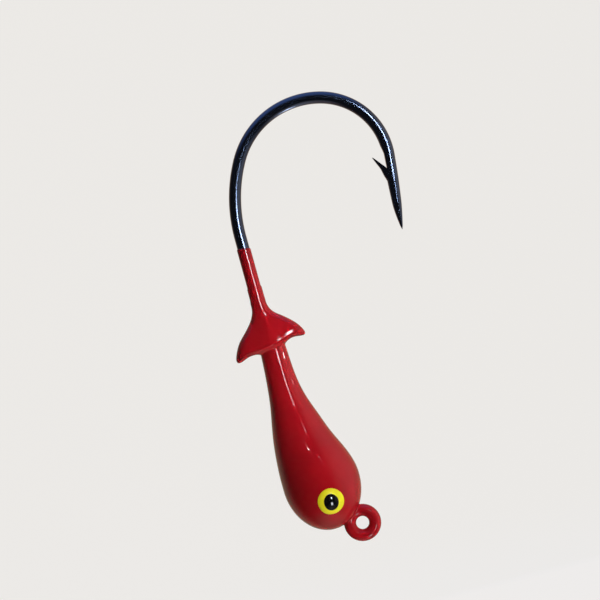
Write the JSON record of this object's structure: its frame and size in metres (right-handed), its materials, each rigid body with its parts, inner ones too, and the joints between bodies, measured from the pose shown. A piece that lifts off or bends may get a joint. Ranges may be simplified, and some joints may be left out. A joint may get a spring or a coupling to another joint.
{
  "type": "jig head",
  "caption": "Teardrop lead jig head cast on a ringed round-bend hook, painted glossy red, with a two-winged bait keeper and painted eyes.",
  "frame": {"origin": "centre of the line eye", "axes": "+Z runs along the shank from the head to the bend, +X is the side of the point, and the hook lies in the plane Y = 0"},
  "size_m": [0.0414, 0.0156, 0.0897],
  "materials": {
    "black_nickel": "black nickel plate on forged steel wire, mirror bright",
    "cast_lead": "bare cast lead, matt grey, hidden under the paint",
    "red_coat": "glossy deep red powder coat",
    "yellow_enamel": "glossy yellow enamel",
    "black_enamel": "glossy black enamel"
  },
  "bodies": {
    "root": {"hook": "black_nickel", "lead_head": "cast_lead", "head_coat": "red_coat", "shank_coat": "red_coat", "ring_coat": "red_coat", "right_iris": "yellow_enamel", "left_iris": "yellow_enamel", "right_pupil": "black_enamel", "left_pupil": "black_enamel"}
  },
  "joints": []
}
